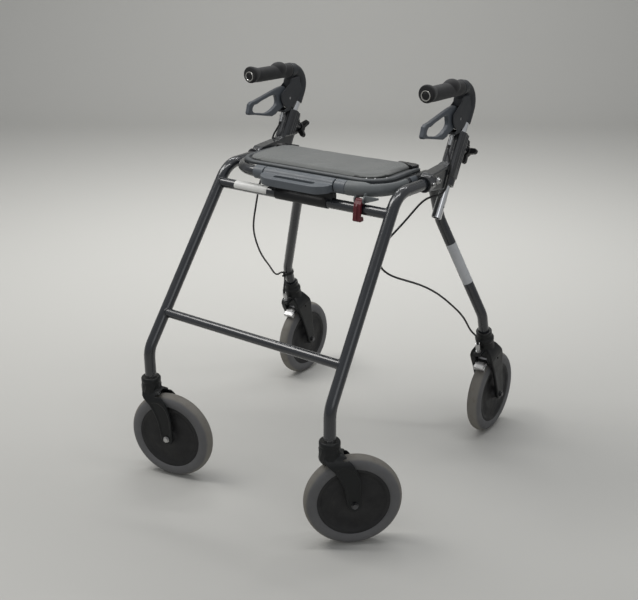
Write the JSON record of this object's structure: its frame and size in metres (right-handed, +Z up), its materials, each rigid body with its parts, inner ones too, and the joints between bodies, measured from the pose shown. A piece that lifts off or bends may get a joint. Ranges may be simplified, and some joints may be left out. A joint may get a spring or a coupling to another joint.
{
  "type": "rollator walker",
  "caption": "Folding rollator walker with a padded seat, braked rear wheels, swivel casters, forward pointing grips with loop brake levers and height adjustable handles.",
  "frame": {"origin": "on the floor, under the centre of the overall bounding box; the middle plane between the two sides is at X = -17.4 mm, because the casters rest at different swivel angles", "axes": "+Z up, +X towards the walking user's left, -Y the direction of travel (casters at -Y, rear wheels at +Y)"},
  "size_m": [0.675, 0.7678, 0.8728],
  "materials": {
    "frame_paint": "gloss anthracite",
    "bracket_paint": "satin dark grey",
    "tube_chrome": "bright plated",
    "plated_steel": "zinc plated",
    "grip_rubber": "matte",
    "housing_plastic": "fine grain",
    "lever_plastic": "fine grain",
    "knob_plastic": "fine grain",
    "fork_plastic": "fine grain",
    "rim_plastic": "matte",
    "tyre": "soft grey",
    "seat_textile": "woven",
    "board_plastic": "matte",
    "saddle_plastic": "fine grain",
    "latch_red": "matte",
    "bush_plastic": "matte",
    "cable_black": "satin"
  },
  "bodies": {
    "main_frame": {"front_frame": "frame_paint", "side_bracket_left": "bracket_paint", "side_bracket_right": "bracket_paint", "bracket_screws": "plated_steel", "fold_pivot_bolts": "plated_steel", "clamp_bushes": "bush_plastic", "crossbar_rest": "saddle_plastic", "leg_bushes": "bush_plastic", "brake_cables": "cable_black"},
    "rear_frame": {"rear_frame_tube": "frame_paint", "pivot_sleeves": "plated_steel", "seat_board": "board_plastic", "seat_pad": "seat_textile", "seat_rivets": "plated_steel", "seat_saddles": "saddle_plastic", "seat_clips": "saddle_plastic", "latch_sleeve": "saddle_plastic", "hook_pin": "plated_steel", "rear_fork_left": "fork_plastic", "rear_fork_right": "fork_plastic", "rear_axles": "plated_steel", "brake_pins": "plated_steel", "brake_adjusters": "plated_steel", "cable_clip": "fork_plastic"},
    "latch_hook_body": {"latch_hook": "latch_red"},
    "lift_handle_body": {"lift_handle": "saddle_plastic"},
    "handle_left": {"handle_tube_left": "tube_chrome", "grip_left": "grip_rubber", "grip_plug_left": "knob_plastic", "brake_housing_left": "housing_plastic", "lever_pin_left": "plated_steel", "cable_barrel_left": "plated_steel"},
    "parking_cam_body_left": {"parking_cam_left": "knob_plastic"},
    "lever_body_left": {"brake_lever_left": "lever_plastic"},
    "brake_shoe_body_left": {"brake_shoe_left": "plated_steel"},
    "knob_body_left": {"star_knob_left": "knob_plastic"},
    "caster_left": {"front_fork_left": "fork_plastic", "caster_stem_left": "plated_steel", "front_axle_left": "plated_steel"},
    "front_wheel_left": {"front_rim_left": "rim_plastic", "front_tyre_left": "tyre"},
    "rear_wheel_left": {"rear_rim_left": "rim_plastic", "rear_tyre_left": "tyre"},
    "handle_right": {"handle_tube_right": "tube_chrome", "grip_right": "grip_rubber", "grip_plug_right": "knob_plastic", "brake_housing_right": "housing_plastic", "lever_pin_right": "plated_steel", "cable_barrel_right": "plated_steel"},
    "parking_cam_body_right": {"parking_cam_right": "knob_plastic"},
    "lever_body_right": {"brake_lever_right": "lever_plastic"},
    "brake_shoe_body_right": {"brake_shoe_right": "plated_steel"},
    "knob_body_right": {"star_knob_right": "knob_plastic"},
    "caster_right": {"front_fork_right": "fork_plastic", "caster_stem_right": "plated_steel", "front_axle_right": "plated_steel"},
    "front_wheel_right": {"front_rim_right": "rim_plastic", "front_tyre_right": "tyre"},
    "rear_wheel_right": {"rear_rim_right": "rim_plastic", "rear_tyre_right": "tyre"}
  },
  "joints": [
    {"name": "fold", "type": "hinge", "parent": "main_frame", "child": "rear_frame", "pos_m": [-0.01745, 0.05395, 0.67], "axis": [-1, 0, 0], "range_deg": [0, 34], "deforming": ["brake_cables"]},
    {"name": "latch_hook_swing", "type": "hinge", "parent": "rear_frame", "child": "latch_hook_body", "pos_m": [0.13705, -0.11505, 0.651], "axis": [-1, 0, 0], "range_deg": [0, 85]},
    {"name": "lift_handle_turn", "type": "hinge", "parent": "rear_frame", "child": "lift_handle_body", "pos_m": [-0.01745, -0.10705, 0.671], "axis": [-1, 0, 0], "range_deg": [0, 60]},
    {"name": "handle_height_left", "type": "slide", "parent": "main_frame", "child": "handle_left", "axis": [0, 0.4894, 0.8721], "range_m": [0, 0.11]},
    {"name": "parking_brake_left", "type": "hinge", "parent": "handle_left", "child": "parking_cam_body_left", "pos_m": [0.21005, 0.14295, 0.786], "axis": [1, 0, 0], "range_deg": [0, 8]},
    {"name": "lever_squeeze_left", "type": "hinge", "parent": "parking_cam_body_left", "child": "lever_body_left", "pos_m": [0.21005, 0.14295, 0.786], "axis": [-1, 0, 0], "range_deg": [0, 14]},
    {"name": "brake_shoe_swing_left", "type": "hinge", "parent": "rear_frame", "child": "brake_shoe_body_left", "pos_m": [0.26815, 0.25192, 0.2089], "axis": [1, 0, 0], "range_deg": [0, 4.3]},
    {"name": "clamp_knob_left", "type": "hinge", "parent": "main_frame", "child": "knob_body_left", "pos_m": [0.21005, 0.19302, 0.70602], "axis": [0, 0.8721, -0.4894], "range_deg": [0, 180]},
    {"name": "caster_swivel_left", "type": "hinge", "parent": "main_frame", "child": "caster_left", "pos_m": [0.22515, -0.34205, 0.2], "axis": [0, 0, 1], "continuous": true},
    {"name": "front_wheel_spin_left", "type": "hinge", "parent": "caster_left", "child": "front_wheel_left", "pos_m": [0.25954, -0.30987, 0.1], "axis": [0.6833, -0.7302, 0], "continuous": true},
    {"name": "rear_wheel_spin_left", "type": "hinge", "parent": "rear_frame", "child": "rear_wheel_left", "pos_m": [0.26815, 0.28395, 0.1], "axis": [1, 0, 0], "continuous": true},
    {"name": "handle_height_right", "type": "slide", "parent": "main_frame", "child": "handle_right", "axis": [0, 0.4894, 0.8721], "range_m": [0, 0.11]},
    {"name": "parking_brake_right", "type": "hinge", "parent": "handle_right", "child": "parking_cam_body_right", "pos_m": [-0.24495, 0.14295, 0.786], "axis": [1, 0, 0], "range_deg": [0, 8]},
    {"name": "lever_squeeze_right", "type": "hinge", "parent": "parking_cam_body_right", "child": "lever_body_right", "pos_m": [-0.24495, 0.14295, 0.786], "axis": [-1, 0, 0], "range_deg": [0, 14]},
    {"name": "brake_shoe_swing_right", "type": "hinge", "parent": "rear_frame", "child": "brake_shoe_body_right", "pos_m": [-0.30305, 0.25192, 0.2089], "axis": [1, 0, 0], "range_deg": [0, 4.3]},
    {"name": "clamp_knob_right", "type": "hinge", "parent": "main_frame", "child": "knob_body_right", "pos_m": [-0.24495, 0.19302, 0.70602], "axis": [0, 0.8721, -0.4894], "range_deg": [0, 180]},
    {"name": "caster_swivel_right", "type": "hinge", "parent": "main_frame", "child": "caster_right", "pos_m": [-0.26005, -0.34205, 0.2], "axis": [0, 0, 1], "continuous": true},
    {"name": "front_wheel_spin_right", "type": "hinge", "parent": "caster_right", "child": "front_wheel_right", "pos_m": [-0.21421, -0.33121, 0.1], "axis": [0.23, -0.9732, 0], "continuous": true},
    {"name": "rear_wheel_spin_right", "type": "hinge", "parent": "rear_frame", "child": "rear_wheel_right", "pos_m": [-0.30305, 0.28395, 0.1], "axis": [1, 0, 0], "continuous": true}
  ],
  "couplings": [
    {"joint": "latch_hook_swing", "follows": "fold", "ratio": 2.5},
    {"joint": "brake_shoe_swing_left", "follows": "lever_squeeze_left", "ratio": 0.307},
    {"joint": "brake_shoe_swing_right", "follows": "lever_squeeze_right", "ratio": 0.307}
  ]
}
